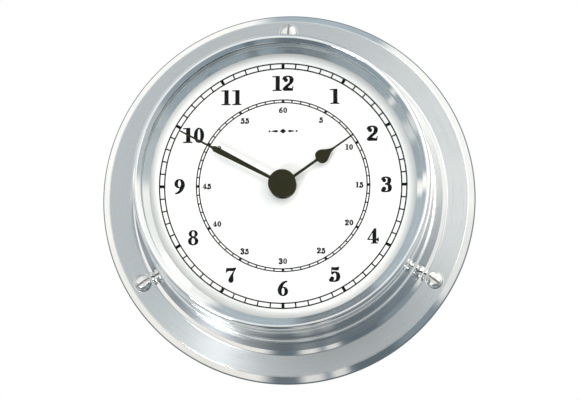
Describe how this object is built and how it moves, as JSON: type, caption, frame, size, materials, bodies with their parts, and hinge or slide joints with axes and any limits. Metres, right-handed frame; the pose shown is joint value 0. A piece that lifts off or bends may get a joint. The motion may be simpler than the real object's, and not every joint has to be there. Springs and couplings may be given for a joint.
{
  "type": "ship's deck clock",
  "caption": "Round flange-mounted marine wall clock: chromed case with polished drum and bezel, flat glass, white dial, two dark hands and a square battery movement.",
  "frame": {"origin": "centre of the mounting flange's back face, on the clock's axis", "axes": "+Y points back into the bulkhead, so the dial faces -Y; +X towards three o'clock; +Z towards twelve o'clock"},
  "size_m": [0.12, 0.0502, 0.12],
  "materials": {
    "brushed_chrome": "satin, brushed round the axis, polished rim",
    "polished_chrome": "mirror polished plate",
    "polished_steel": "polished, slotted raised heads",
    "plain_steel": "bright zinc-plated or plain steel",
    "glass": "clear flat float glass",
    "white_enamel": "smooth white dial enamel with black print",
    "black_enamel": "matt olive-black enamel",
    "black_rubber": "matt moulded rubber",
    "brass": "turned brass",
    "grey_plastic": "fine-grained dark grey moulding",
    "black_plastic": "fine-grained black moulding",
    "white_plastic": "natural acetal moulding",
    "magnet": "sintered magnet",
    "copper_wire": "enamelled copper wire",
    "circuit_board": "solder-masked glass-fibre board",
    "battery_wrap": "shrink wrap with bare steel end caps"
  },
  "bodies": {
    "case": {"mounting_flange": "brushed_chrome", "mounting_screw_1": "polished_steel", "mounting_screw_2": "polished_steel", "mounting_screw_3": "polished_steel", "drum_body": "polished_chrome", "bezel": "polished_chrome", "glass": "glass", "glass_gasket": "black_rubber", "dial_ring": "polished_chrome", "dial": "white_enamel", "threaded_bushing": "brass", "bushing_nut": "brass", "nut_washer": "brass", "rubber_washer": "black_rubber", "movement_case_front": "grey_plastic", "movement_case_back": "grey_plastic", "stator": "plain_steel", "coil_core": "plain_steel", "coil_bobbin": "black_plastic", "coil_winding": "copper_wire", "circuit_board": "circuit_board", "timing_chip": "black_plastic", "quartz_crystal": "plain_steel", "battery": "battery_wrap", "battery_contact_positive": "plain_steel", "battery_contact_negative": "plain_steel", "rear_cover": "black_plastic", "cover_screw_1": "plain_steel", "cover_screw_2": "plain_steel", "cover_screw_3": "plain_steel"},
    "minute_hand_body": {"minute_arbor": "plain_steel", "minute_hand": "black_enamel", "hub_cap": "black_enamel"},
    "hour_hand_body": {"hour_wheel": "white_plastic", "hour_hand": "black_enamel"},
    "minute_wheel_body": {"minute_wheel": "white_plastic"},
    "setting_knob_body": {"setting_knob": "black_plastic"},
    "seconds_wheel_body": {"seconds_wheel": "white_plastic"},
    "third_wheel_body": {"third_wheel": "white_plastic"},
    "centre_wheel_body": {"centre_wheel": "brass"},
    "intermediate_wheel_body": {"intermediate_wheel": "white_plastic"},
    "rotor_body": {"rotor_pinion": "white_plastic", "rotor_magnet": "magnet"}
  },
  "joints": [
    {"name": "minute_hand_spin", "type": "hinge", "parent": "case", "child": "minute_hand_body", "pos_m": [0, -0.032, 0], "axis": [0, 1, 0], "continuous": true},
    {"name": "hour_hand_spin", "type": "hinge", "parent": "case", "child": "hour_hand_body", "pos_m": [0, -0.0306, 0], "axis": [0, 1, 0], "continuous": true},
    {"name": "minute_wheel_spin", "type": "hinge", "parent": "case", "child": "minute_wheel_body", "pos_m": [-0.0053, -0.0218, 0.0053], "axis": [0, 1, 0], "continuous": true},
    {"name": "setting_knob_spin", "type": "hinge", "parent": "case", "child": "setting_knob_body", "pos_m": [-0.01235, -0.008, 0.00787], "axis": [0, 1, 0], "continuous": true},
    {"name": "seconds_wheel_spin", "type": "hinge", "parent": "case", "child": "seconds_wheel_body", "pos_m": [0, -0.0167, 0], "axis": [0, 1, 0], "continuous": true},
    {"name": "third_wheel_spin", "type": "hinge", "parent": "case", "child": "third_wheel_body", "pos_m": [0.0065, -0.0184, 0.00375], "axis": [0, 1, 0], "continuous": true},
    {"name": "centre_wheel_spin", "type": "hinge", "parent": "case", "child": "centre_wheel_body", "pos_m": [0, -0.0202, 0], "axis": [0, 1, 0], "continuous": true},
    {"name": "intermediate_wheel_spin", "type": "hinge", "parent": "case", "child": "intermediate_wheel_body", "pos_m": [0.00122, -0.0151, 0.00689], "axis": [0, 1, 0], "continuous": true},
    {"name": "rotor_spin", "type": "hinge", "parent": "case", "child": "rotor_body", "pos_m": [0.00362, -0.013, 0.01105], "axis": [0, 1, 0], "continuous": true}
  ],
  "couplings": [
    {"joint": "hour_hand_spin", "follows": "minute_hand_spin", "ratio": 0.083333},
    {"joint": "minute_wheel_spin", "follows": "minute_hand_spin", "ratio": -0.33333},
    {"joint": "setting_knob_spin", "follows": "minute_hand_spin", "ratio": 1},
    {"joint": "third_wheel_spin", "follows": "seconds_wheel_spin", "ratio": -0.13333},
    {"joint": "centre_wheel_spin", "follows": "seconds_wheel_spin", "ratio": 0.016667},
    {"joint": "intermediate_wheel_spin", "follows": "seconds_wheel_spin", "ratio": -6},
    {"joint": "rotor_spin", "follows": "seconds_wheel_spin", "ratio": 30}
  ]
}
